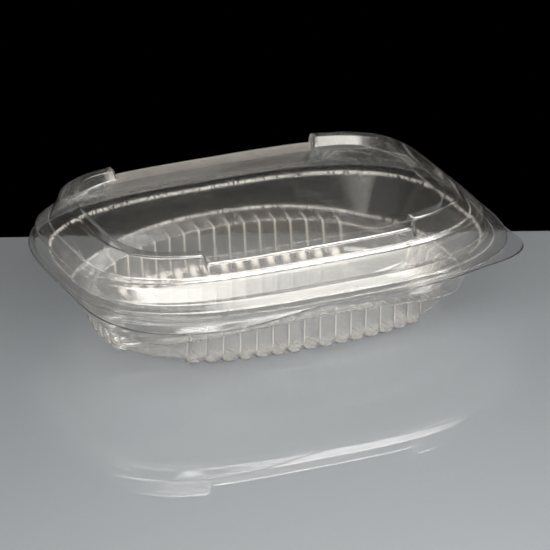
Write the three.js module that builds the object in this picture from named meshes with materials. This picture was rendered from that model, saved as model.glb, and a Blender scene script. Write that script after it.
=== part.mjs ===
// Clear hinged food container: a fluted oval tray and a domed lid, both thin shells of formed sheet.
// Millimetres. +X runs along the length, -Y is the opening side, +Z is up.
// The origin is on the table, under the middle of the tray.
import * as THREE from 'three';

// Sheet and fit
const WALL = 0.6;
const FLANGE_GAP = 0.3;

// Heights
const TRAY_RIM_Z = 32.2;
const LID_RIM_Z = TRAY_RIM_Z + FLANGE_GAP + WALL;
const LEDGE_MIDDLE_Z = 20.5;
const LEDGE_CORNER_Z = 13.5;
const LEDGE_FALL = 1.8;
const FOOT_HEIGHT = 1.8;
const PANEL_Z = 49.6;
const RIDGE_HEIGHT = 3.8;

// Flanges: half length, half width and squareness of their outline, and their shift along X
const TRAY_FLANGE = { a: 96, b: 75, n: 3.1 };
const LID_FLANGE = { a: 96, b: 73.6, n: 3.1 };
const FLANGE_SHIFT = 1;

// Hinge along the back: the axis, and how far each flange stops short of it
const HINGE_Y = 75;
const HINGE_HALF_LENGTH = 45;
const HINGE_EASE = 0.3;

// Pull tabs at the front corners of the tray's flange: reach in mm, middle and spread in degrees
const TABS = [
  { reach: 13.5, middle: 229, spread: 40 },
  { reach: 7, middle: 329, spread: 16 },
];

// Flutes of the lower tray wall, which stand on small feet
const FLUTE_PITCH = 6.9;
const FLUTES_LONG = 15;
const FLUTES_SHORT = 5;
const FLUTE_DEPTH = 1.2;
const FOOT_DEPTH = 1.7;
const STEPS_PER_FLUTE = 4;
const CORNER_STEPS = 7;
const LEDGE_REACH_X = 65;

// Lid dome: it sits a little to the left of the flanges, and a raised ridge goes round each end
const DOME_SHIFT = -2.5;
const RIDGE_END_X = 45.4;
const RIDGE_END_STEP = 0.8;
const LID_STEPS_LONG = 20;
const LID_STEPS_END = 26;

const DEGREE = Math.PI / 180;

// Levels of the tray's outside, from the floor up. Each is an oval at a height, pushed out by its
// flutes, and raised where there is no flute.
const TRAY_LEVELS = [
  { a: 60, b: 34, n: 2.6, z: 0 },
  { a: 71, b: 45, n: 2.7, z: 0, flute: FOOT_DEPTH / 2, raise: FOOT_HEIGHT },
  { a: 73, b: 47, n: 2.7, z: 1.4, flute: FOOT_DEPTH, raise: FOOT_HEIGHT / 2 },
  { a: 74, b: 48.4, n: 2.7, z: 4.2, flute: FOOT_DEPTH },
  { a: 74.6, b: 48.8, n: 2.7, z: 6.6, flute: FLUTE_DEPTH },
  { a: 75.8, b: 49.6, n: 2.75, z: (x) => ledgeHeight(x) - LEDGE_FALL, flute: FLUTE_DEPTH },
  { a: 81, b: 61, n: 2.8, z: ledgeHeight },
  { a: 88, b: 63.6, n: 2.9, z: TRAY_RIM_Z - WALL },
];

// Levels of the lid's outside, from its flange up: a step, a shoulder, the ridge's slope and the panel
const LID_LEVELS = [
  { a: 93, b: 68.4, n: 3.1, z: LID_RIM_Z, shift: -1 },
  { a: 91.8, b: 66.6, n: 3.2, z: 36.6, shift: -2 },
  { a: 91.2, b: 65.4, n: 3.2, z: 37.4, shift: DOME_SHIFT },
  { a: 90.8, b: 60.6, n: 3.4, z: 42.2, shift: DOME_SHIFT },
  { a: 88.4, b: 59.4, n: 3.45, z: 43.6, shift: DOME_SHIFT },
  { a: 84.7, b: 57.4, n: 3.5, z: 44.3, shift: DOME_SHIFT },
  { a: 79.6, b: 56, n: 3.7, z: PANEL_Z - WALL, shift: DOME_SHIFT, ridge: RIDGE_HEIGHT },
  { a: 78.4, b: 55, n: 3.8, z: PANEL_Z, shift: DOME_SHIFT, ridge: RIDGE_HEIGHT },
  { a: 73, b: 50.2, n: 4.2, z: PANEL_Z, shift: DOME_SHIFT, ridge: RIDGE_HEIGHT },
  { a: 71.8, b: 49, n: 4.2, z: PANEL_Z, shift: DOME_SHIFT },
];

/** Height of the ledge above the flutes, which arches over the middle of each long side. */
function ledgeHeight(x) {
  const part = Math.min(1, (x / LEDGE_REACH_X) ** 2);
  return LEDGE_MIDDLE_Z + (LEDGE_CORNER_Z - LEDGE_MIDDLE_Z) * part;
}

/** Distance from the middle to a superellipse outline in the direction of an angle. */
function reach({ a, b, n }, angle) {
  const across = Math.abs(Math.cos(angle)) / a;
  const along = Math.abs(Math.sin(angle)) / b;
  return (across ** n + along ** n) ** (-1 / n);
}

/** Half width of a superellipse at a distance x from its middle. */
function halfWidth({ a, b, n }, x) {
  return b * Math.max(0, 1 - Math.abs(x / a) ** n) ** (1 / n);
}

/** Half length of a superellipse at a distance y from its middle. */
function halfLength({ a, b, n }, y) {
  return a * Math.max(0, 1 - Math.abs(y / b) ** n) ** (1 / n);
}

/** Point of an oval at a station: at a set x on a long side, a set y on an end, else by angle. */
function ovalPoint(oval, station) {
  if (station.side === 'long') {
    return [station.at, station.sign * halfWidth(oval, station.at)];
  }
  if (station.side === 'end') {
    return [station.sign * halfLength(oval, station.at), station.at];
  }
  const [fromX, fromY] = ovalPoint(oval, station.from);
  const [toX, toY] = ovalPoint(oval, station.to);
  const start = Math.atan2(fromY, fromX);
  const turn = (Math.atan2(toY, toX) - start + 4 * Math.PI) % (2 * Math.PI);
  const angle = start + turn * station.part;
  return [reach(oval, angle) * Math.cos(angle), reach(oval, angle) * Math.sin(angle)];
}

/** Places strictly between two others, spread by angle. */
function cornerStations(from, to, steps, raised) {
  return Array.from({ length: steps - 1 }, (_, step) => ({
    side: 'corner', from, to, part: (step + 1) / steps, bulge: 0, raised,
  }));
}

/** Places round the tray, anticlockwise: flutes along each side, plain corners between them. */
function trayStations() {
  const sides = [
    { side: 'long', sign: -1, run: 1, flutes: FLUTES_LONG },
    { side: 'end', sign: 1, run: 1, flutes: FLUTES_SHORT },
    { side: 'long', sign: 1, run: -1, flutes: FLUTES_LONG },
    { side: 'end', sign: -1, run: -1, flutes: FLUTES_SHORT },
  ];
  const rows = sides.map(({ side, sign, run, flutes }) => {
    const steps = flutes * STEPS_PER_FLUTE;
    return Array.from({ length: steps + 1 }, (_, step) => ({
      side,
      sign,
      at: run * FLUTE_PITCH * flutes * (step / steps - 0.5),
      bulge: 0.5 - 0.5 * Math.cos((2 * Math.PI * step) / STEPS_PER_FLUTE),
      raised: 0,
    }));
  });
  return rows.flatMap((row, index) => {
    const following = rows[(index + 1) % rows.length];
    return [...row, ...cornerStations(row[row.length - 1], following[0], CORNER_STEPS, 0)];
  });
}

/** Places round the lid, anticlockwise, with a close pair at each end of the two raised ridges. */
function lidStations() {
  const inner = RIDGE_END_X - RIDGE_END_STEP / 2;
  const outer = RIDGE_END_X + RIDGE_END_STEP / 2;
  return [-1, 1].flatMap((sign) => {
    const middle = Array.from({ length: LID_STEPS_LONG + 1 }, (_, step) => ({
      side: 'long', sign, at: sign * inner * (1 - 2 * (step / LID_STEPS_LONG)), bulge: 0, raised: 0,
    }));
    const from = { side: 'long', sign, at: -sign * outer, bulge: 0, raised: 1 };
    const to = { side: 'long', sign: -sign, at: -sign * outer, bulge: 0, raised: 1 };
    return [...middle, from, ...cornerStations(from, to, LID_STEPS_END, 1), to];
  });
}

/** Smooth hump from 0 to 1 and back, centred on an angle in degrees. */
function hump(angle, middle, spread) {
  const turn = ((angle / DEGREE - middle + 540) % 360) - 180;
  return Math.abs(turn) >= spread ? 0 : 0.5 + 0.5 * Math.cos((Math.PI * turn) / spread);
}

/** Ring round a flange's outer edge: an oval with corner tabs and a straight stretch at the hinge. */
function flangeRing(stations, outline, z, tabs) {
  return stations.map((station) => {
    const [x, y] = ovalPoint(outline, station);
    if (y > 0 && Math.abs(x) < HINGE_HALF_LENGTH) {
      return [x, HINGE_Y - HINGE_EASE, z];
    }
    const angle = Math.atan2(y, x);
    const out = tabs.reduce((sum, tab) => sum + tab.reach * hump(angle, tab.middle, tab.spread), 0);
    return [x + out * Math.cos(angle) + FLANGE_SHIFT, y + out * Math.sin(angle), z];
  });
}

/** Ring of points round one level of a body. */
function levelRing(stations, level) {
  const { z, flute = 0, raise = 0, ridge = 0, shift = 0 } = level;
  return stations.map((station) => {
    const [x, y] = ovalPoint(level, station);
    const out = 1 + (flute * station.bulge) / Math.hypot(x, y);
    const height = typeof z === 'function' ? z(x) : z;
    const lift = raise * (1 - station.bulge) ** 2 + ridge * station.raised;
    return [x * out + shift, y * out, height + lift];
  });
}

/** Indexed geometry from points and triples of point numbers. */
function meshFrom(points, triangles) {
  const geometry = new THREE.BufferGeometry();
  geometry.setAttribute('position', new THREE.Float32BufferAttribute(points.flat(), 3));
  geometry.setIndex(triangles.flat());
  geometry.computeVertexNormals();
  return geometry;
}

/** Middle of a ring of points. */
function centreOf(ring) {
  const sum = ring.reduce((total, point) => total.map((value, axis) => value + point[axis]), [0, 0, 0]);
  return sum.map((value) => value / ring.length);
}

/** Closed thin body from rings, low to high, of its outside: capped at one end, open at the other. */
function shellGeometry(rings, cap) {
  const count = rings[0].length;
  const last = (rings.length - 1) * count;
  const capped = cap === 'bottom' ? rings[0] : rings[rings.length - 1];
  const outside = [...rings.flat(), centreOf(capped)];
  const centre = outside.length - 1;
  const skin = [];
  const edge = [];
  for (let k = 0; k < count; k += 1) {
    const next = (k + 1) % count;
    for (let low = 0; low < last; low += count) {
      const high = low + count;
      skin.push([low + k, low + next, high + next], [low + k, high + next, high + k]);
    }
    if (cap === 'bottom') {
      skin.push([centre, next, k]);
      edge.push([last + k, last + next]);
    } else {
      skin.push([centre, last + k, last + next]);
      edge.push([next, k]);
    }
  }
  const normals = meshFrom(outside, skin).getAttribute('normal');
  const inside = outside.map(([x, y, z], k) => [
    x - WALL * normals.getX(k),
    y - WALL * normals.getY(k),
    z - WALL * normals.getZ(k),
  ]);
  const shift = outside.length;
  const lining = skin.map(([p, q, r]) => [p + shift, r + shift, q + shift]);
  const rim = edge.flatMap(([p, q]) => [[p, q, q + shift], [p, q + shift, p + shift]]);
  return meshFrom([...outside, ...inside], [...skin, ...lining, ...rim]);
}

/** Tray: floor, feet, fluted lower wall, arched ledge, plain upper wall and flange with corner tabs. */
function trayGeometry() {
  const stations = trayStations();
  const wall = TRAY_LEVELS.map((level) => levelRing(stations, level));
  return shellGeometry([...wall, flangeRing(stations, TRAY_FLANGE, TRAY_RIM_Z - WALL, TABS)], 'bottom');
}

/** Lid: flange, step, rounded shoulder, and a flat panel between two raised end ridges. */
function lidGeometry() {
  const stations = lidStations();
  const dome = LID_LEVELS.map((level) => levelRing(stations, level));
  return shellGeometry([flangeRing(stations, LID_FLANGE, LID_RIM_Z, []), ...dome], 'top');
}

/** Clear sheet plastic of one tint. */
const clearSheet = (color) => new THREE.MeshStandardMaterial({
  color, roughness: 0.08, metalness: 0, transparent: true, opacity: 0.35, side: THREE.DoubleSide,
});

/** Adds one named body to the model. */
function addNode(parent, name, geometry, material) {
  const mesh = new THREE.Mesh(geometry, material);
  mesh.name = name;
  parent.add(mesh);
}

const container = new THREE.Group();
addNode(container, 'tray', trayGeometry(), clearSheet(0xdfe3e4));
addNode(container, 'lid', lidGeometry(), clearSheet(0xe9ecec));

export default container;
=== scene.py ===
"""Clear hinged food container on a pale glossy table, under soft studio light.

The scene is in metres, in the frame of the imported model: +X runs along the length, -Y is the
opening side, +Z is up. Lengths in the classes below are in millimetres unless their text says
metres, and are turned into metres as the meshes are made.
"""

import functools
import logging
import math
from dataclasses import dataclass, field
from enum import Enum
from typing import Any, Sequence

import bpy
import numpy as np
from mathutils import Matrix, Vector


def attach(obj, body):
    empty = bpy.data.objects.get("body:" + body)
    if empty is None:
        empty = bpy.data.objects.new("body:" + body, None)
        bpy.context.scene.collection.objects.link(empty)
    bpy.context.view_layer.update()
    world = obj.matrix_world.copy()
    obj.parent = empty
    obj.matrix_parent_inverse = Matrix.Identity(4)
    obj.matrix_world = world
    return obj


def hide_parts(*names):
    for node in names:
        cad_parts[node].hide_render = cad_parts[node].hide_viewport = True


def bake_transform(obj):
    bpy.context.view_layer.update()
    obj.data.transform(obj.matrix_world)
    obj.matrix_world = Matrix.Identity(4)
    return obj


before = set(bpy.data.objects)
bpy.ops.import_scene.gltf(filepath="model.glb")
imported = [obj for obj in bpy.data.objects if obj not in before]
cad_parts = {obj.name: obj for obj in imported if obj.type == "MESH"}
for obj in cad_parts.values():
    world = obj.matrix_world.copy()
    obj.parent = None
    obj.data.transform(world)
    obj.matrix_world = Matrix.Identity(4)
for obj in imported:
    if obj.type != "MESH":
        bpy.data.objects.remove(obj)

LOG = logging.getLogger("container")
MM = 0.001
# Names of the point paints: the bends' grain with their painted highlight, and the walls' haze with
# the flutes' painted highlights and the painted reflection on the lid's rear wall
GRAIN_AND_HIGHLIGHT = "frost"
HAZE_AND_HIGHLIGHT = "haze"
TINY = 1e-9

# Fit shared by the tray and the lid, in mm
RIM_Z = 32.2  # top of the tray's flange
LID_RIM_Z = 33.1  # top of the lid's flange
SHEET = 0.42  # thickness of the plastic
HINGE_Y = 75.0  # back edge where the fold lies
HINGE_HALF_LENGTH = 45.0
HINGE_EASE = 0.3  # how far both flanges stay short of the fold
REAR_REFLECTION_FADE = 7.0  # how far past the fold's ends the painted reflection on the lid's rear wall reaches
FLANGE_SHIFT = 1.0  # both flanges lie this far to the right
DOME_SHIFT = -2.5  # and the lid's dome this far to the left
FLANGE_SHARE = 0.96  # part of the way to the cut edge where the flange still lies flat
EDGE_FILLET = 0.1  # rounding next to the cut edge

# Painted highlights, as milky whitening of the plastic: how fast they fall off beside and on a
# flute, and how their noises are stretched and cut so that they have clear spots, milky spots and
# painted glints
LINE_POWER = 6
PATCH_GAIN, PATCH_CUT = 2.6, 0.7
SPARKLE_GAIN, SPARKLE_CUT, SPARKLE_PEAK = 11, 0.46, 1.3


class Side(Enum):
    """Stretch of an outline that a station lies on."""

    LONG = "long"
    END = "end"
    CORNER = "corner"


class Cap(Enum):
    """End of a stack of rings that is closed by a flat face."""

    BOTTOM = "bottom"
    TOP = "top"


@dataclass(frozen=True)
class Oval:
    """Superellipse outline.

    Attributes:
        a: Half the length in mm.
        b: Half the width in mm.
        n: The squareness: 2 is an ellipse.
    """

    a: float
    b: float
    n: float

    def half_width(self, x: float) -> float:
        """Half width at a distance x from the middle."""
        return self.b * max(0.0, 1 - abs(x / self.a) ** self.n) ** (1 / self.n)

    def half_length(self, y: float) -> float:
        """Half length at a distance y from the middle."""
        return self.a * max(0.0, 1 - abs(y / self.b) ** self.n) ** (1 / self.n)

    def reach(self, angle: float) -> float:
        """Distance from the middle to the outline.

        Args:
            angle: The direction in radians.

        Returns:
            The distance in mm.
        """
        across = abs(math.cos(angle)) / self.a
        along = abs(math.sin(angle)) / self.b
        return (across**self.n + along**self.n) ** (-1 / self.n)


@dataclass(frozen=True)
class Station:
    """Place round an outline, the same on every level of a body.

    Attributes:
        side: The stretch that the station lies on.
        sign: Which of the two long sides or ends it is.
        at: The place along a long side or an end, in mm.
        start: For a corner, the station where the corner starts.
        end: For a corner, the station where it ends.
        part: For a corner, the part of the turn that is done.
        bulge: How much of a flute stands out here, from 0 to 1.
        flute_highlight: How strong the painted highlights on the flutes are here, and 0 where the
            wall has none.
        raised: How much of a ridge's height is reached here, from 0 to 1.
    """

    side: Side
    sign: int = 1
    at: float = 0.0
    start: "Station | None" = None
    end: "Station | None" = None
    part: float = 0.0
    bulge: float = 0.0
    flute_highlight: float = 0.0
    raised: float = 0.0

    @property
    def gap(self) -> float:
        """Painted highlight mask: 1 in the middle of a gap between two flutes, falling fast to 0,
        times the strength of the painted highlight.
        """
        return self.flute_highlight * (1 - self.bulge) ** LINE_POWER

    @property
    def along_hinge(self) -> float:
        """Whether the station lies along the hinge, where the painted reflection on the lid's rear
        wall lies.

        Returns:
            1 along the hinge, falling to 0 just past its ends.
        """
        if self.side is not Side.LONG or self.sign < 0:
            return 0.0
        past = (abs(self.at) - HINGE_HALF_LENGTH) / REAR_REFLECTION_FADE
        return min(1.0, max(0.0, 1 - past))

    @property
    def knob(self) -> float:
        """Painted highlight mask: 1 in the middle of a flute, falling fast to 0, times the strength
        of the painted highlight.
        """
        return self.flute_highlight * self.bulge**LINE_POWER

    def point(self, oval: Oval) -> tuple[float, float]:
        """Place of the station on one oval.

        Args:
            oval: The outline of the level.

        Returns:
            X and Y in mm.
        """
        if self.side is Side.LONG:
            return self.at, self.sign * oval.half_width(self.at)
        if self.side is Side.END:
            return self.sign * oval.half_length(self.at), self.at
        from_x, from_y = self.start.point(oval)
        to_x, to_y = self.end.point(oval)
        first = math.atan2(from_y, from_x)
        turn = (math.atan2(to_y, to_x) - first) % (2 * math.pi)
        angle = first + turn * self.part
        return oval.reach(angle) * math.cos(angle), oval.reach(angle) * math.sin(angle)


@dataclass(frozen=True)
class Level:
    """One level of a body's outside.

    Attributes:
        oval: The outline.
        z: The height in mm.
        arch: How far the height rises over the middle of the long sides.
        flute: How far the flutes push the outline out.
        raise_gaps: How far the outline is raised between two flutes.
        ridge: How far the outline is raised along the ridges.
        shift: The shift along X.
        fillet: How far from this level the profile starts to turn.
        frost: How grained the bend at this level is, and how strong its painted highlight is (milky
            whitening that stands in for the bright line that light draws on the bend), from 0 to 1.
        haze: How milky the wall is at this level.
        hinge_haze: Painted reflection: how much milkier the wall is where it runs along the hinge,
            for the bright band that light makes on the lid's rear wall.
        lines: Painted highlight: how milky the gaps between two flutes are at this level.
        knobs: Painted highlight: how milky the middle of each flute is at this level.
    """

    oval: Oval
    z: float
    arch: float = 0.0
    flute: float = 0.0
    raise_gaps: float = 0.0
    ridge: float = 0.0
    shift: float = 0.0
    fillet: float = 0.6
    frost: float = 0.0
    haze: float = 0.0
    hinge_haze: float = 0.0
    lines: float = 0.0
    knobs: float = 0.0


@dataclass(frozen=True)
class Tab:
    """Pull tab on a flange.

    Attributes:
        reach: How far it pushes the edge out, in mm.
        middle: The direction of its middle in degrees.
        spread: Half its width in degrees.
    """

    reach: float
    middle: float
    spread: float

    def out(self, angle: float) -> float:
        """How far the tab pushes the edge out.

        Args:
            angle: The direction in radians.

        Returns:
            The distance in mm.
        """
        turn = (math.degrees(angle) - self.middle + 180) % 360 - 180
        if abs(turn) >= self.spread:
            return 0.0
        return self.reach * (0.5 + 0.5 * math.cos(math.pi * turn / self.spread))


@dataclass(frozen=True)
class Flange:
    """Flat edge of a body, with a straight stretch at the hinge.

    Attributes:
        oval: The outline without its tabs.
        z: The height in mm.
        tabs: The pull tabs.
    """

    oval: Oval
    z: float
    tabs: tuple[Tab, ...] = ()

    def ring(self, stations: Sequence[Station]) -> np.ndarray:
        """Points round the flange's outer edge, in mm.

        Args:
            stations: The places round the outline.

        Returns:
            One row for each station, as from level_ring.
        """
        points = []
        for station in stations:
            x, y = station.point(self.oval)
            if y > 0 and abs(x) < HINGE_HALF_LENGTH:
                y = HINGE_Y - HINGE_EASE
            else:
                angle = math.atan2(y, x)
                out = sum(tab.out(angle) for tab in self.tabs)
                x += out * math.cos(angle) + FLANGE_SHIFT
                y += out * math.sin(angle)
            points.append((x, y, self.z, 0.0, 0.0))
        return np.array(points)


@dataclass(frozen=True)
class SheetMesher:
    """Turns rings of points into a thin closed sheet with rounded bends.

    Attributes:
        thickness: The sheet's thickness in mm.
        bend_steps: Rings that make each rounded bend.
        bend_share: The largest part of the way to the next ring that a bend may take.
        rim_steps: Rings that round the sheet's cut edge.
    """

    thickness: float = SHEET
    bend_steps: int = 5
    bend_share: float = 0.45
    rim_steps: int = 3

    def bent(self, rings: Sequence[np.ndarray], fillets: Sequence[float]) -> np.ndarray:
        """Rounds the profile at every inner ring.

        Args:
            rings: The sharp rings from one end of the profile to the other, as from level_ring.
            fillets: How far each bend reaches to both sides, in mm.

        Returns:
            Rings by stations by X, Y, Z, the bend's grain with its painted highlight, and the
            wall's haze with its painted highlights and painted reflection.
        """
        made = [rings[0]]
        for before, turn, after, fillet in zip(rings, rings[1:], rings[2:], fillets[1:]):
            start = turn + self.share(before - turn, fillet)
            end = turn + self.share(after - turn, fillet)
            for t in np.linspace(0, 1, self.bend_steps):
                ring = (1 - t) ** 2 * start + 2 * t * (1 - t) * turn + t**2 * end
                ring[:, 3] = turn[:, 3] * (1 - abs(2 * t - 1))
                made.append(ring)
        made.append(rings[-1])
        return np.array(made)

    def share(self, way: np.ndarray, fillet: float) -> np.ndarray:
        """The first part of the way from a bend to the next ring, as long as the bend reaches."""
        length = np.linalg.norm(way[:, :3], axis=1, keepdims=True)
        return way * np.minimum(self.bend_share, fillet / np.maximum(length, TINY))

    @staticmethod
    def normals(grid: np.ndarray) -> np.ndarray:
        """Outward directions of a grid of points.

        Args:
            grid: Rings by stations by X, Y and Z, anticlockwise and from low to high.

        Returns:
            Rings by stations by the parts of a unit vector.
        """
        along = np.roll(grid, -1, axis=1) - np.roll(grid, 1, axis=1)
        up = np.gradient(grid, axis=0)
        out = np.cross(along, up)
        return out / np.maximum(np.linalg.norm(out, axis=2, keepdims=True), TINY)

    def sheet(self, name: str, grid: np.ndarray, cap: Cap) -> bpy.types.Object:
        """Closed thin body from the rings of its outside.

        Args:
            name: The object's name.
            grid: Rings of the outside, from low to high, as from bent.
            cap: The end that a flat face closes.

        Returns:
            The mesh object, in metres.
        """
        out = np.zeros_like(grid)
        out[..., :3] = self.normals(grid[..., :3])
        flat = np.array([0, 0, -1.0 if cap is Cap.BOTTOM else 1.0, 0, 0])
        closed = 0 if cap is Cap.BOTTOM else -1
        free = -1 if cap is Cap.BOTTOM else 0
        out[closed] = flat
        inside = grid - self.thickness * out
        edge_out, edge_in = grid[free], inside[free]
        middle = (edge_out + edge_in) / 2
        upward = edge_out - middle
        outward = middle - middle.mean(axis=0)
        outward[:, 2:] = 0
        outward *= self.thickness / 2 / np.linalg.norm(outward, axis=1, keepdims=True)
        rim = []
        for step in range(1, self.rim_steps + 1):
            angle = math.pi * step / (self.rim_steps + 1)
            rim.append(middle + upward * math.cos(angle) + outward * math.sin(angle))
        outer = list(grid if cap is Cap.BOTTOM else grid[::-1])
        inner = list(inside[::-1] if cap is Cap.BOTTOM else inside)
        rings = [*outer, *rim, *inner]
        return self._closed(name, np.array(rings), cap)

    def _closed(self, name: str, rings: np.ndarray, cap: Cap) -> bpy.types.Object:
        """Mesh object from rings that run over the outside and back along the inside.

        Args:
            name: The object's name.
            rings: The rings, as from bent.
            cap: The end that a flat face closes, outside and inside.

        Returns:
            The mesh object, in metres.
        """
        rows, count, _ = rings.shape
        middles = [rings[0].mean(axis=0), rings[-1].mean(axis=0)]
        points = np.concatenate([rings.reshape(-1, 5), middles])
        first, last = rows * count, rows * count + 1
        faces = []
        for k in range(count):
            after = (k + 1) % count
            for row in range(rows - 1):
                low, high = row * count, (row + 1) * count
                faces.append((low + k, low + after, high + after, high + k))
            faces.append((first, after, k))
            faces.append((last, (rows - 1) * count + k, (rows - 1) * count + after))
        if cap is Cap.TOP:
            faces = [face[::-1] for face in faces]
        mesh = bpy.data.meshes.new(name)
        mesh.from_pydata((points[:, :3] * MM).tolist(), [], faces)
        mesh.shade_smooth()
        for paint, column in ((GRAIN_AND_HIGHLIGHT, 3), (HAZE_AND_HIGHLIGHT, 4)):
            attribute = mesh.attributes.new(paint, "FLOAT", "POINT")
            attribute.data.foreach_set("value", points[:, column])
        made = bpy.data.objects.new(name, mesh)
        bpy.context.scene.collection.objects.link(made)
        return made


def level_ring(stations: Sequence[Station], level: Level, arch_reach: float = 1.0) -> np.ndarray:
    """Points round one level of a body, in mm.

    Args:
        stations: The places round the outline.
        level: The level.
        arch_reach: The distance along X where the arch of the height ends.

    Returns:
        One row for each station: X, Y, Z, the grain and painted highlight of the bend, and the haze
            of the wall with its painted highlights and painted reflection.
    """
    points = []
    for station in stations:
        x, y = station.point(level.oval)
        out = 1 + level.flute * station.bulge / math.hypot(x, y)
        height = level.z + level.arch * max(0.0, 1 - (x / arch_reach) ** 2)
        height += level.raise_gaps * (1 - station.bulge) ** 2 + level.ridge * station.raised
        # Real haze of the wall, plus a painted reflection along the hinge and painted highlights in
        # the gaps and on the flute middles
        haze = level.haze + level.hinge_haze * station.along_hinge
        haze += level.lines * station.gap + level.knobs * station.knob
        points.append((x * out + level.shift, y * out, height, level.frost, haze))
    return np.array(points)


def corner(start: Station, end: Station, steps: int, raised: float = 0.0) -> list[Station]:
    """Stations strictly between two others, spread by angle.

    Args:
        start: The station before the corner.
        end: The station after it.
        steps: The number of steps from one to the other.
        raised: How much of a ridge's height the corner has.

    Returns:
        The corner's own stations.
    """
    return [
        Station(Side.CORNER, start=start, end=end, part=step / steps, raised=raised)
        for step in range(1, steps)
    ]


@dataclass
class Tray:
    """Fluted oval tray: flat floor, feet, fluted wall, arched ledge, plain upper wall and flange.

    Attributes:
        flute_pitch: The distance from one flute to the next.
        flutes_long: The number of flutes on each long side.
        flutes_short: The number of flutes on each end.
        steps_per_flute: Stations for each flute.
        corner_steps: Steps round each corner.
        flute_depth: How far a flute stands out from the wall.
        flute_power: How boxy a flute is across.
        end_highlight_gain: How much stronger the painted highlights on the flutes of the two ends
            are than those of the long sides.
        foot_depth: How far a flute's foot stands out.
        foot_height: How far the sheet is raised between two feet.
        arch_reach: The distance along X where the ledge's arch ends.
        ledge_corner_z: The height of the ledge in the corners.
        ledge_arch: How far the ledge rises over the middle of the long sides.
        ledge_fall: How far the fluted wall stays below the ledge.
        flange: The flat edge with its two pull tabs.
        mesher: Turns the levels into a sheet.
    """

    flute_pitch: float = 6.9
    flutes_long: int = 15
    flutes_short: int = 5
    steps_per_flute: int = 14
    corner_steps: int = 22
    flute_depth: float = 1.2
    flute_power: float = 2.6
    end_highlight_gain: float = 1.5
    foot_depth: float = 1.7
    foot_height: float = 1.8
    arch_reach: float = 65.0
    ledge_corner_z: float = 13.5
    ledge_arch: float = 7.0
    ledge_fall: float = 1.8
    flange: Flange = Flange(Oval(96, 75, 3.1), RIM_Z - SHEET, (Tab(13.5, 229, 40), Tab(7, 329, 16)))
    mesher: SheetMesher = SheetMesher()

    def stations(self) -> list[Station]:
        """Places round the tray: fluted sides and plain corners between them.

        Returns:
            The stations, anticlockwise from the front left.
        """
        sides = [
            (Side.LONG, -1, 1, self.flutes_long),
            (Side.END, 1, 1, self.flutes_short),
            (Side.LONG, 1, -1, self.flutes_long),
            (Side.END, -1, -1, self.flutes_short),
        ]
        rows = []
        for side, sign, run, flutes in sides:
            steps = flutes * self.steps_per_flute
            length = run * self.flute_pitch * flutes
            flute_highlight = self.end_highlight_gain if side is Side.END else 1.0
            row = []
            for step in range(steps + 1):
                at = length * (step / steps - 0.5)
                bulge = self.bulge(step / self.steps_per_flute)
                row.append(Station(side, sign, at, bulge=bulge, flute_highlight=flute_highlight))
            rows.append(row)
        places = []
        for row, following in zip(rows, rows[1:] + rows[:1]):
            places += row + corner(row[-1], following[0], self.corner_steps)
        return places

    def bulge(self, turn: float) -> float:
        """How far a flute stands out, from 0 in the gap beside it to 1 at its middle."""
        return 1 - abs(2 * (turn % 1) - 1) ** self.flute_power

    def levels(self) -> list[Level]:
        """Levels of the outside.

        Returns:
            The levels from the floor up to the foot of the flange.
        """
        foot, flute, rise = self.foot_depth, self.flute_depth, self.foot_height
        ledge_z, arch = self.ledge_corner_z, self.ledge_arch
        wall_z = ledge_z - self.ledge_fall
        wall = functools.partial(Level, haze=0.07)
        return [
            Level(Oval(58, 32, 2.6), 0),
            Level(Oval(60, 34, 2.6), 0, fillet=1.5, haze=0.01),
            # Painted highlights on the feet and flutes: milky spots in the middle of each foot and
            # milky gaps between the flutes
            Level(Oval(71, 45, 2.7), 0, 0, foot / 2, rise, fillet=0.8, haze=0.06, knobs=0.35),
            Level(Oval(73, 47, 2.7), 1.4, 0, foot, rise / 2, haze=0.08, knobs=0.5),
            wall(Oval(74, 48.4, 2.7), 4.2, 0, foot, fillet=0.9, lines=0.2, knobs=0.12),
            wall(Oval(74.6, 48.8, 2.7), 6.6, 0, flute, fillet=0.9, lines=0.35),
            wall(Oval(75.8, 49.6, 2.75), wall_z, arch, flute, fillet=0.5, frost=0.3, lines=0.45),
            Level(Oval(81, 61, 2.8), ledge_z, arch, fillet=1.2, haze=0.02, frost=1.0),
            Level(Oval(88, 63.6, 2.9), RIM_Z - SHEET, fillet=1.1, frost=1.0),
        ]

    def build(self) -> bpy.types.Object:
        """Makes the tray's sheet.

        Returns:
            The mesh object.
        """
        stations = self.stations()
        levels = self.levels()
        rings = [level_ring(stations, level, self.arch_reach) for level in levels]
        edge = self.flange.ring(stations)
        rings += [rings[-1] + (edge - rings[-1]) * FLANGE_SHARE, edge]
        fillets = [level.fillet for level in levels] + [EDGE_FILLET] * 2
        return self.mesher.sheet("tray_sheet", self.mesher.bent(rings, fillets), Cap.BOTTOM)


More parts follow.
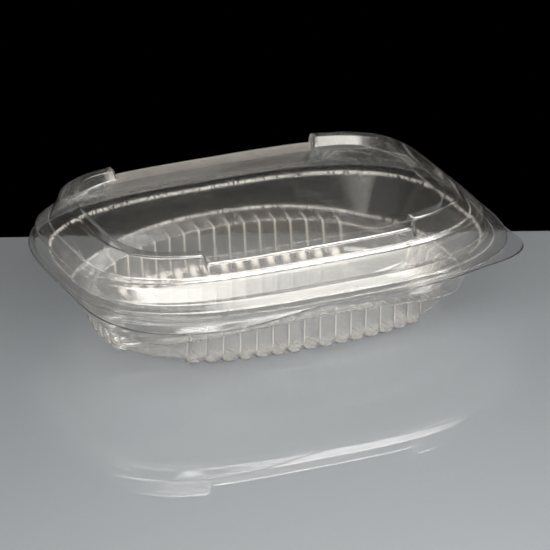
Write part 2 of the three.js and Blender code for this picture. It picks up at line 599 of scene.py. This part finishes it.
@dataclass
class Lid:
    """Domed lid: flange, step, rounded shoulder, and a flat panel between two raised end ridges.

    Attributes:
        steps_middle: Steps along each long side between the two ridges.
        steps_end: Steps round each end.
        ridge_height: How far the ridges rise above the panel.
        ridge_end_x: The distance along X where the ridges end.
        ridge_end_step: The length of the slope at a ridge's end.
        ridge_end_steps: Steps down that slope.
        panel_z: The height of the panel.
        edge_drop: How far the panel's outer edge lies below it.
        flange: The flat edge.
        mesher: Turns the levels into a sheet.
    """

    steps_middle: int = 36
    steps_end: int = 110
    ridge_height: float = 3.8
    ridge_end_x: float = 45.4
    ridge_end_step: float = 1.0
    ridge_end_steps: int = 6
    panel_z: float = 49.6
    edge_drop: float = 0.6
    flange: Flange = Flange(Oval(96, 73.6, 3.1), LID_RIM_Z)
    mesher: SheetMesher = SheetMesher()

    def stations(self) -> list[Station]:
        """Places round the lid, close together where the two ridges end.

        Returns:
            The stations, anticlockwise from the front left.
        """
        inner = self.ridge_end_x - self.ridge_end_step / 2
        slope = range(1, self.ridge_end_steps + 1)
        places = []
        for sign in (-1, 1):
            middle = [
                Station(Side.LONG, sign, sign * inner * (1 - 2 * step / self.steps_middle))
                for step in range(self.steps_middle + 1)
            ]
            up = [self.ridge_end(sign, -sign, step) for step in slope]
            down = [self.ridge_end(-sign, -sign, step) for step in slope[::-1]]
            places += middle + up + corner(up[-1], down[0], self.steps_end, 1.0) + down
        return places

    def ridge_end(self, side_sign: int, end_sign: int, step: int) -> Station:
        """Station on the slope where a ridge ends.

        Args:
            side_sign: Which long side it is on.
            end_sign: Which short end the ridge goes round.
            step: The step up the slope, from 1.

        Returns:
            The station.
        """
        part = step / self.ridge_end_steps
        at = self.ridge_end_x + self.ridge_end_step * (part - 0.5)
        return Station(Side.LONG, side_sign, end_sign * at, raised=part * part * (3 - 2 * part))

    def levels(self) -> list[Level]:
        """Levels of the outside.

        Returns:
            The levels from the foot of the flange up to the panel.
        """
        panel, edge_z = self.panel_z, self.panel_z - self.edge_drop
        dome = functools.partial(Level, shift=DOME_SHIFT)
        band = functools.partial(dome, haze=0.012, hinge_haze=0.3)
        raised = functools.partial(dome, ridge=self.ridge_height)
        # Along the hinge the flange, bands and ridges get a painted reflection: extra milkiness for
        # the bright band that light makes on the lid's rear wall
        return [
            Level(Oval(93, 68.4, 3.1), LID_RIM_Z, frost=0.2, haze=0.01, hinge_haze=0.1, shift=-1),
            band(Oval(91.8, 66.6, 3.2), 36.6, fillet=0.5, frost=0.08, hinge_haze=0.25, shift=-2),
            band(Oval(91.2, 65.4, 3.2), 37.4, fillet=0.4, frost=0.15),
            band(Oval(90.8, 60.6, 3.4), 42.2, fillet=0.7, frost=0.06),
            band(Oval(88.4, 59.4, 3.45), 43.6, fillet=0.7, frost=0.05),
            band(Oval(84.7, 57.4, 3.5), 44.3, fillet=0.7, frost=0.3, haze=0.01),
            raised(Oval(79.6, 56, 3.7), edge_z, fillet=0.5, frost=0.06, hinge_haze=0.3),
            raised(Oval(78.4, 55, 3.8), panel, fillet=0.5, frost=0.06, hinge_haze=0.15),
            raised(Oval(73, 50.2, 4.2), panel, fillet=0.4, frost=0.08),
            dome(Oval(71.8, 49, 4.2), panel, fillet=0.4, frost=0.3),
            dome(Oval(70, 47.4, 4.2), panel),
        ]

    def build(self) -> bpy.types.Object:
        """Makes the lid's sheet.

        Returns:
            The mesh object.
        """
        stations = self.stations()
        levels = self.levels()
        rings = [level_ring(stations, level) for level in levels]
        edge = self.flange.ring(stations)
        rings = [edge, rings[0] + (edge - rings[0]) * FLANGE_SHARE, *rings]
        fillets = [EDGE_FILLET] * 2 + [level.fillet for level in levels]
        return self.mesher.sheet("lid_sheet", self.mesher.bent(rings, fillets), Cap.TOP)


@dataclass
class LivingHinge:
    """Thin fold that joins the back edges of the two flanges.

    Attributes:
        half_length: Half the fold's length.
        thickness: The thickness of the plastic in the fold.
        low_z: The height of its foot, in the tray's flange.
        high_z: The height of its head, in the lid's flange.
        proud: How far it stands out behind the hinge's edge.
        steps_along: Steps along its length.
        steps_round: Steps round its bend.
    """

    half_length: float = 44.0
    thickness: float = 0.16
    low_z: float = RIM_Z - SHEET / 2
    high_z: float = LID_RIM_Z - SHEET / 2
    proud: float = 0.12
    steps_along: int = 40
    steps_round: int = 8

    def build(self) -> bpy.types.Object:
        """Makes the fold as a closed strip, bent outwards from the tray's flange to the lid's.

        Returns:
            The mesh object.
        """
        edge = HINGE_Y - HINGE_EASE
        turns = np.linspace(-math.pi / 2, math.pi / 2, self.steps_round + 1)
        middle_z = (self.low_z + self.high_z) / 2
        high = (self.high_z - self.low_z) / 2
        deep = HINGE_EASE + self.proud
        outer, inner = (
            [
                (edge + (deep - inset) * math.cos(turn), middle_z + (high - inset) * math.sin(turn))
                for turn in turns
            ]
            for inset in (0.0, self.thickness)
        )
        loop = outer + inner[::-1]
        xs = np.linspace(-self.half_length, self.half_length, self.steps_along + 1)
        points = [(x, y, z) for x in xs for y, z in loop]
        count = len(loop)
        last = self.steps_along * count
        faces = [tuple(range(count))[::-1], tuple(range(last, last + count))]
        for row in range(self.steps_along):
            for k in range(count):
                after = (k + 1) % count
                low, high = row * count, (row + 1) * count
                faces.append((low + k, low + after, high + after, high + k))
        mesh = bpy.data.meshes.new("hinge_fold")
        mesh.from_pydata((np.array(points) * MM).tolist(), [], faces)
        mesh.shade_smooth()
        made = bpy.data.objects.new("hinge_fold", mesh)
        bpy.context.scene.collection.objects.link(made)
        return made

    def blend_span(self) -> tuple[tuple[float, float, float], tuple[float, float, float]]:
        """The points at the fold's foot, in the tray's flange, and at its head, in the lid's
        flange, in metres.
        """
        return (0.0, HINGE_Y * MM, self.low_z * MM), (0.0, HINGE_Y * MM, self.high_z * MM)


class Value:
    """A number in a shader, either a plain number or a socket, with the usual operators."""

    def __init__(self, graph: "Graph", source: Any) -> None:
        """Keeps the graph that new nodes go into, and the number or socket."""
        self.graph = graph
        self.source = source

    def _math(self, operation: str, *others: Any, clamp: bool = False) -> "Value":
        """Adds one Math node.

        Args:
            operation: The node's operation.
            others: The further numbers, sockets or values.
            clamp: Whether the result is kept between 0 and 1.

        Returns:
            The result.
        """
        node = self.graph.node("ShaderNodeMath", {"operation": operation, "use_clamp": clamp})
        for socket, value in zip(node.inputs, (self, *others)):
            self.graph.feed(socket, value)
        return Value(self.graph, node.outputs[0])

    def __add__(self, other: Any) -> "Value":
        """Sum."""
        return self._math("ADD", other)

    __radd__ = __add__

    def __mul__(self, other: Any) -> "Value":
        """Product."""
        return self._math("MULTIPLY", other)

    __rmul__ = __mul__

    def __sub__(self, other: Any) -> "Value":
        """Difference."""
        return self._math("SUBTRACT", other)

    def __rsub__(self, other: Any) -> "Value":
        """Difference from a number on the left."""
        return Value(self.graph, other)._math("SUBTRACT", self)

    def __pow__(self, other: Any) -> "Value":
        """Power."""
        return self._math("POWER", other)

    def __abs__(self) -> "Value":
        """Size without its sign."""
        return self._math("ABSOLUTE")

    def clamped(self) -> "Value":
        """The value kept between 0 and 1."""
        return self._math("ADD", 0.0, clamp=True)


class Graph:
    """Node tree of one material or light."""

    def __init__(self, owner: bpy.types.Material | bpy.types.Light) -> None:
        """Empties the node tree of a new material or light.

        Args:
            owner: The material or light.
        """
        owner.use_nodes = True
        self.owner = owner
        self.tree = owner.node_tree
        self.tree.nodes.clear()

    def node(
        self,
        kind: str,
        settings: dict[str, Any] | None = None,
        inputs: dict[str | int, Any] | None = None,
    ) -> bpy.types.Node:
        """Adds one node of any kind.

        Args:
            kind: The node's type.
            settings: The node's own settings; "stops" holds a ramp's places and colours.
            inputs: The values or links of its sockets, by name or number.

        Returns:
            The node.
        """
        made = self.tree.nodes.new(kind)
        for key, value in (settings or {}).items():
            if key == "stops":
                self._set_stops(made.color_ramp, value)
            else:
                setattr(made, key, value)
        for key, value in (inputs or {}).items():
            self.feed(made.inputs[key], value)
        return made

    @staticmethod
    def _set_stops(
        ramp: bpy.types.ColorRamp, stops: Sequence[tuple[float, Sequence[float]]]
    ) -> None:
        """Gives a ramp its stops.

        Args:
            ramp: The ramp.
            stops: A place from 0 to 1 and a colour for each stop.
        """
        while len(ramp.elements) < len(stops):
            ramp.elements.new(1.0)
        for element, (place, colour) in zip(ramp.elements, stops):
            element.position = place
            element.color = (*colour, 1.0)

    def feed(self, socket: bpy.types.NodeSocket, value: Any) -> None:
        """Links a value or a socket to a socket, or sets the socket's own number.

        Args:
            socket: The socket that is fed.
            value: The value, socket or number that it gets.
        """
        source = value.source if isinstance(value, Value) else value
        if isinstance(source, bpy.types.NodeSocket):
            self.tree.links.new(source, socket)
        else:
            socket.default_value = source

    def place(self) -> bpy.types.NodeSocket:
        """Place on the object, in metres, which doesn't change as the object moves."""
        return self.node("ShaderNodeTexCoord").outputs["Object"]

    def part(self, vector: bpy.types.NodeSocket, axis: str) -> Value:
        """One coordinate of a vector, "X", "Y" or "Z"."""
        split = self.node("ShaderNodeSeparateXYZ", inputs={"Vector": vector})
        return Value(self, split.outputs[axis])

    def painted(self, name: str) -> Value:
        """Number that is kept on the mesh's points."""
        settings = {"attribute_name": name, "attribute_type": "GEOMETRY"}
        return Value(self, self.node("ShaderNodeAttribute", settings).outputs["Fac"])

    def noise(self, size: float, detail: float = 2.0, rough: float = 0.5) -> Value:
        """Cloudy pattern with spots of about one size, in metres.

        Args:
            size: The size of a spot.
            detail: How many finer layers are added.
            rough: How strong the finer layers are.

        Returns:
            The pattern, from 0 to 1.
        """
        inputs = {"Vector": self.place(), "Scale": 1 / size, "Detail": detail, "Roughness": rough}
        return Value(self, self.node("ShaderNodeTexNoise", inputs=inputs).outputs[0])

    def bump(
        self, height: Value, depth: float, under: bpy.types.NodeSocket | None = None
    ) -> bpy.types.NodeSocket:
        """Relief from a pattern.

        Args:
            height: The pattern, from 0 to 1.
            depth: How deep the relief is, in metres.
            under: The relief that this one lies on.

        Returns:
            The normal.
        """
        inputs = {"Height": height, "Distance": depth, "Strength": 1.0}
        if under is not None:
            inputs["Normal"] = under
        return self.node("ShaderNodeBump", inputs=inputs).outputs["Normal"]

    def mix(self, share: Any, first: bpy.types.Node, second: bpy.types.Node) -> bpy.types.Node:
        """Blend of two shader nodes, with the share of the second."""
        sockets = {0: share, 1: first.outputs[0], 2: second.outputs[0]}
        return self.node("ShaderNodeMixShader", inputs=sockets)

    def finish(self, shader: bpy.types.NodeSocket, output: str = "ShaderNodeOutputMaterial") -> Any:
        """Links the shader to an output node and returns the material or light."""
        self.node(output, inputs={"Surface": shader})
        return self.owner


@dataclass(frozen=True)
class ClearSheet:
    """Clear formed plastic sheet: glossy, faintly wavy, faintly milky and grained on its bends;
    milky whitening paints highlights and glints on the bends and flutes, and a reflection on the
    lid's rear wall.

    Attributes:
        name: The material's name.
        tint: The colour of light that passes.
        roughness: How blurred the gloss is at least.
        smear: How much more blurred it is in places.
        smear_size: How far apart those places lie in mm.
        ior: How strongly the plastic bends light.
        wave_size: The width of the soft waves in mm.
        wave_depth: Their depth in mm.
        patch_size: How far apart the stretches with deeper grain and stronger painted highlights
            lie in mm.
        patch_low: How much grain and painted highlight the weakest of them keep, from 0 to 1.
        streak_size: How far apart the hazier spots lie in mm.
        streak_low: How much of the haze the clearest spots keep at least.
        streak_gain: How much the haze varies from spot to spot.
        grain_size: The width of a grain in mm.
        grain_depth: Its depth in mm.
        grain_low: How deep the grain is on clear stretches, from 0 to 1.
        milk: The colour of the milky haze and of the painted highlights.
        milk_roughness: How matt it is.
        veil_flat: How milky flat stretches are.
        veil_wall: How milky upright walls are.
        shade: How much light reaches what lies behind one face of the sheet.
    """

    name: str
    tint: tuple[float, float, float]
    roughness: float = 0.02
    smear: float = 0.03
    smear_size: float = 30.0
    ior: float = 1.57
    wave_size: float = 16.0
    wave_depth: float = 0.025
    patch_size: float = 28.0
    patch_low: float = 0.3
    streak_size: float = 9.0
    streak_low: float = 0.7
    streak_gain: float = 0.6
    grain_size: float = 1.1
    grain_depth: float = 0.05
    grain_low: float = 0.05
    milk: tuple[float, float, float] = (0.96, 0.92, 0.87)
    milk_roughness: float = 0.4
    veil_flat: float = 0.004
    veil_wall: float = 0.012
    shade: tuple[float, float, float] = (0.9, 0.9, 0.9)

    def material(self) -> bpy.types.Material:
        """Makes the material.

        Returns:
            The material.
        """
        graph = Graph(bpy.data.materials.new(self.name))
        patches = (graph.noise(self.patch_size * MM, detail=1.0) * PATCH_GAIN - PATCH_CUT).clamped()
        # Grain depth and painted highlight of the bends, broken into patches
        frost = graph.painted(GRAIN_AND_HIGHLIGHT) * (patches * (1 - self.patch_low) + self.patch_low)
        streaks = graph.noise(self.streak_size * MM) * self.streak_gain + self.streak_low
        # Real haze with the painted highlights and the painted reflection that the point paint
        # carries
        haze = graph.painted(HAZE_AND_HIGHLIGHT) * streaks
        waves = graph.bump(graph.noise(self.wave_size * MM, detail=1.0), self.wave_depth * MM)
        grain = graph.noise(self.grain_size * MM, detail=3.0, rough=0.6)
        normal = graph.bump(grain * (frost + self.grain_low), self.grain_depth * MM, waves)
        smear = graph.noise(self.smear_size * MM, detail=3.0) * self.smear
        clear = graph.node(
            "ShaderNodeBsdfPrincipled",
            inputs={
                "Base Color": (*self.tint, 1.0),
                "Roughness": smear + self.roughness,
                "IOR": self.ior,
                "Transmission Weight": 1.0,
                "Normal": normal,
            },
        )
        milky = graph.node(
            "ShaderNodeBsdfPrincipled",
            inputs={
                "Base Color": (*self.milk, 1.0),
                "Roughness": self.milk_roughness,
                "Normal": normal,
            },
        )
        # Painted glints: the highest grain on the bends is made milky, so that it shows as bright
        # specks
        sparkle = ((grain - SPARKLE_CUT) * SPARKLE_GAIN).clamped() * SPARKLE_PEAK
        veil = self.steepness(graph) * (self.veil_wall - self.veil_flat) + self.veil_flat
        # Share of the milky shader: real haze, plus painted highlights, painted glints and the rear
        # wall's painted reflection
        milk_and_highlight = (veil + haze + frost * sparkle).clamped()
        passed = graph.node("ShaderNodeBsdfTransparent", inputs={"Color": (*self.shade, 1.0)})
        shadow_ray = graph.node("ShaderNodeLightPath").outputs["Is Shadow Ray"]
        sheet = graph.mix(milk_and_highlight, clear, milky)
        return graph.finish(graph.mix(shadow_ray, sheet, passed).outputs[0])

    @staticmethod
    def steepness(graph: Graph) -> Value:
        """Mask that is 1 on upright walls and 0 on level stretches."""
        level = graph.part(graph.node("ShaderNodeTexCoord").outputs["Normal"], "Z")
        return (1 - level * level).clamped()


@dataclass(frozen=True)
class GlossyTable:
    """Pale table top with a hard glossy coat.

    Attributes:
        colour: The paler of its two greys.
        darker: How bright the darker grey is next to it.
        speckle_size: The width of a speckle in mm.
        roughness: How matt the top is under its coat at least.
        smear: How much more matt it is in places.
        smear_size: How far apart those places lie in mm.
        coat: How strong the coat's gloss is.
        coat_ior: How strongly the coat bends light.
        coat_roughness: How blurred its gloss is.
    """

    colour: tuple[float, float, float] = (0.235, 0.26, 0.285)
    darker: float = 0.97
    speckle_size: float = 1.6
    roughness: float = 0.5
    smear: float = 0.04
    smear_size: float = 20.0
    coat: float = 1.0
    coat_ior: float = 1.65
    coat_roughness: float = 0.01

    def material(self) -> bpy.types.Material:
        """Makes the material.

        Returns:
            The material.
        """
        graph = Graph(bpy.data.materials.new("table_top"))
        dark = tuple(part * self.darker for part in self.colour)
        speckle = graph.node(
            "ShaderNodeValToRGB",
            {"stops": [(0.3, dark), (0.7, self.colour)]},
            {"Fac": graph.noise(self.speckle_size * MM)},
        )
        shader = graph.node(
            "ShaderNodeBsdfPrincipled",
            inputs={
                "Base Color": speckle.outputs[0],
                "Roughness": graph.noise(self.smear_size * MM) * self.smear + self.roughness,
                "Coat Weight": self.coat,
                "Coat IOR": self.coat_ior,
                "Coat Roughness": self.coat_roughness,
            },
        )
        return graph.finish(shader.outputs[0])


@dataclass
class Table:
    """Table top that ends a little behind the container, nearly square to the camera's view.

    Attributes:
        edge_behind: The distance of its far edge from the middle of the container, in mm.
        depth: Its depth in mm.
        half_width: Half its width in mm.
        heading: The turn about Z in degrees.
        drop: How far it lies below the container's feet, in mm.
        finish: Its material.
    """

    edge_behind: float = 83.0
    depth: float = 900.0
    half_width: float = 900.0
    heading: float = -23.2
    drop: float = 0.06
    finish: GlossyTable = GlossyTable()

    def build(self) -> bpy.types.Object:
        """Makes the table top.

        Returns:
            The mesh object.
        """
        turn = Matrix.Rotation(math.radians(self.heading), 4, "Z")
        far, near = self.edge_behind * MM, (self.edge_behind - self.depth) * MM
        side = self.half_width * MM
        outline = [(-side, near), (side, near), (side, far), (-side, far)]
        mesh = bpy.data.meshes.new("table_top")
        points = [turn @ Vector((x, y, -self.drop * MM)) for x, y in outline]
        mesh.from_pydata(points, [], [(0, 1, 2, 3)])
        made = bpy.data.objects.new("table_top", mesh)
        bpy.context.scene.collection.objects.link(made)
        made.data.materials.append(self.finish.material())
        return made


@dataclass(frozen=True)
class SoftPanel:
    """Rectangular studio light that faces the container.

    Attributes:
        name: The light's name.
        azimuth: The direction that it stands in, in degrees, from +X towards +Y.
        elevation: Its height above the table as an angle, in degrees.
        distance: The distance from the container in metres.
        width: The panel's width in metres.
        height: The panel's height in metres.
        radiance: How bright its face is.
        colour: The colour of its light.
        fade: How late the light fades towards the panel's edges: low is softer.
        only_gloss: Whether it shows in glossy surfaces and doesn't light the others.
    """

    name: str
    azimuth: float
    elevation: float
    distance: float
    width: float
    height: float
    radiance: float
    colour: tuple[float, float, float] = (1.0, 1.0, 1.0)
    fade: float = 4.0
    only_gloss: bool = False

    def build(self) -> bpy.types.Object:
        """Makes the light.

        Returns:
            The light's object.
        """
        around, up = math.radians(self.azimuth), math.radians(self.elevation)
        flat = math.cos(up)
        out = Vector((math.cos(around) * flat, math.sin(around) * flat, math.sin(up)))
        data = bpy.data.lights.new(self.name, "AREA")
        data.shape = "RECTANGLE"
        data.size = self.width
        data.size_y = self.height
        data.energy = self.radiance * math.pi * self.width * self.height
        data.color = self.colour
        graph = Graph(data)
        face = graph.node("ShaderNodeNewGeometry").outputs["Parametric"]
        glow = self.fading(graph.part(face, "X")) * self.fading(graph.part(face, "Y"))
        emission = graph.node("ShaderNodeEmission", inputs={"Strength": glow})
        graph.finish(emission.outputs[0], "ShaderNodeOutputLight")
        made = bpy.data.objects.new(self.name, data)
        turn = out.to_track_quat("Z", "Y").to_matrix().to_4x4()
        made.matrix_world = Matrix.Translation(out * self.distance) @ turn
        made.visible_camera = False
        made.visible_diffuse = not self.only_gloss
        bpy.context.scene.collection.objects.link(made)
        return made

    def fading(self, place: Value) -> Value:
        """Strength across the panel, from 1 in its middle to 0 at its edges."""
        return 1 - abs(place * 2 - 1) ** self.fade


@dataclass
class PhotoCamera:
    """Camera at the photograph's angle, far away and with a long lens.

    Attributes:
        azimuth: Degrees round the container; 0 looks along +Y.
        elevation: Degrees above the table.
        roll: Degrees by which the picture is turned.
        distance: Distance from the target in metres.
        focal_px: Focal length in pixels of the photograph.
        target: Point of the container, in mm.
        target_px: Where that point shows in the photograph.
        frame_px: Width and height of the photograph.
        sensor_mm: Width of the camera's sensor.
        clip: The nearest and farthest distance that is shown, in metres.
    """

    azimuth: float = -22.1
    elevation: float = 22.5
    roll: float = -1.1
    distance: float = 2.0
    focal_px: float = 4800.0
    target: tuple[float, float, float] = (-2.5, 0.0, 27.0)
    target_px: tuple[float, float] = (260.2, 250.8)
    frame_px: float = 550.0
    sensor_mm: float = 36.0
    clip: tuple[float, float] = (0.05, 20.0)

    def build(self) -> bpy.types.Object:
        """Makes the camera and gives it to the scene.

        Returns:
            The camera's object.
        """
        # Azimuth, elevation and roll in radians
        a, e, r = (math.radians(angle) for angle in (self.azimuth, self.elevation, self.roll))
        back = Vector((math.sin(a) * math.cos(e), -math.cos(a) * math.cos(e), math.sin(e)))
        level = Vector((math.cos(a), math.sin(a), 0))
        upright = back.cross(level)
        right = level * math.cos(r) + upright * math.sin(r)
        up = upright * math.cos(r) - level * math.sin(r)
        target = Vector(self.target) * MM
        place = target + back * self.distance
        pixel = self.distance / self.focal_px
        aside = right * ((self.frame_px / 2 - self.target_px[0]) * pixel)
        below = up * ((self.target_px[1] - self.frame_px / 2) * pixel)
        facing = (place - (target + aside + below)).normalized()
        right = (right - facing * right.dot(facing)).normalized()
        up = facing.cross(right)
        data = bpy.data.cameras.new("photo_camera")
        data.sensor_width = self.sensor_mm
        data.sensor_fit = "HORIZONTAL"
        data.lens = self.focal_px / self.frame_px * self.sensor_mm
        data.clip_start, data.clip_end = self.clip
        made = bpy.data.objects.new("photo_camera", data)
        turn = Matrix((right, up, facing)).transposed().to_4x4()
        made.matrix_world = Matrix.Translation(place) @ turn
        bpy.context.scene.collection.objects.link(made)
        bpy.context.scene.camera = made
        return made


@dataclass
class Studio:
    """Lights, dark room and camera round the container.

    Attributes:
        panels: The lights.
        room: The colour of the room behind everything.
        bounces: How many sheets light passes before it is lost.
        gloss_bounces: How many times light is mirrored before it is lost.
        camera: The camera.
    """

    panels: tuple[SoftPanel, ...] = (
        SoftPanel("top_light", 20, 70, 1.2, 0.3, 0.8, 28.0, (1.0, 0.98, 0.96), 3.0, True),
        SoftPanel("window", -94, 44, 0.6, 1.4, 0.5, 7.4, (1.0, 0.96, 0.91), 2.5),
        SoftPanel("left_window", -152, 46, 0.7, 0.6, 0.5, 3.5, (1.0, 0.96, 0.91), 2.0, True),
        SoftPanel("back_light", 60, 58, 1.2, 1.0, 0.55, 7.0, (1.0, 0.98, 0.96), 2.0, True),
        SoftPanel("left_card", 200, 30, 1.2, 1.0, 0.7, 0.3),
        SoftPanel("right_card", 10, 35, 1.4, 1.0, 0.8, 0.03),
    )
    room: tuple[float, float, float] = (0.0, 0.0, 0.0)
    bounces: int = 32
    gloss_bounces: int = 12
    camera: PhotoCamera = field(default_factory=PhotoCamera)

    def build(self) -> None:
        """Makes the lights, the dark room and the camera, and lets light through many sheets."""
        scene = bpy.context.scene
        for panel in self.panels:
            panel.build()
        world = bpy.data.worlds.new("dark_room")
        world.use_nodes = True
        background = world.node_tree.nodes["Background"]
        background.inputs["Color"].default_value = (*self.room, 1.0)
        scene.world = world
        scene.view_settings.view_transform = "Standard"
        scene.cycles.max_bounces = self.bounces
        scene.cycles.transmission_bounces = self.bounces
        scene.cycles.transparent_max_bounces = self.bounces
        scene.cycles.glossy_bounces = self.gloss_bounces
        scene.cycles.caustics_refractive = False
        scene.cycles.caustics_reflective = False
        self.camera.build()


@dataclass
class Container:
    """The whole container: tray, lid and the fold between them.

    Attributes:
        tray: The tray.
        lid: The lid.
        hinge: The fold, which is made of the lid's plastic.
        tray_finish: The tray's material.
        lid_finish: The lid's material.
    """

    tray: Tray = field(default_factory=Tray)
    lid: Lid = field(default_factory=Lid)
    hinge: LivingHinge = field(default_factory=LivingHinge)
    tray_finish: ClearSheet = ClearSheet("tray_plastic", (0.95, 0.955, 0.95))
    lid_finish: ClearSheet = ClearSheet("lid_plastic", (0.95, 0.95, 0.94))

    def build(self) -> None:
        """Makes each piece and dresses it; the tray and the lid also hide the model parts they
        replace and ride on their bodies.
        """
        tray = self.tray.build()
        tray.data.materials.append(self.tray_finish.material())
        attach(tray, "tray")
        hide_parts("tray")
        report(tray)
        lid = self.lid.build()
        lid_plastic = self.lid_finish.material()
        lid.data.materials.append(lid_plastic)
        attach(lid, "lid")
        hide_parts("lid")
        report(lid)
        fold = self.hinge.build()
        fold.data.materials.append(lid_plastic)
        start, end = self.hinge.blend_span()
        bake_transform(fold)
        report(fold)


def report(piece: bpy.types.Object) -> None:
    """Logs a piece's name and the number of its faces."""
    LOG.info("%s: %d faces", piece.name, len(piece.data.polygons))


def main() -> None:
    """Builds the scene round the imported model."""
    logging.basicConfig(level=logging.INFO, format="%(name)s: %(message)s")
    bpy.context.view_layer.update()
    Studio().build()
    report(Table().build())
    Container().build()


if __name__ == "__main__":
    main()
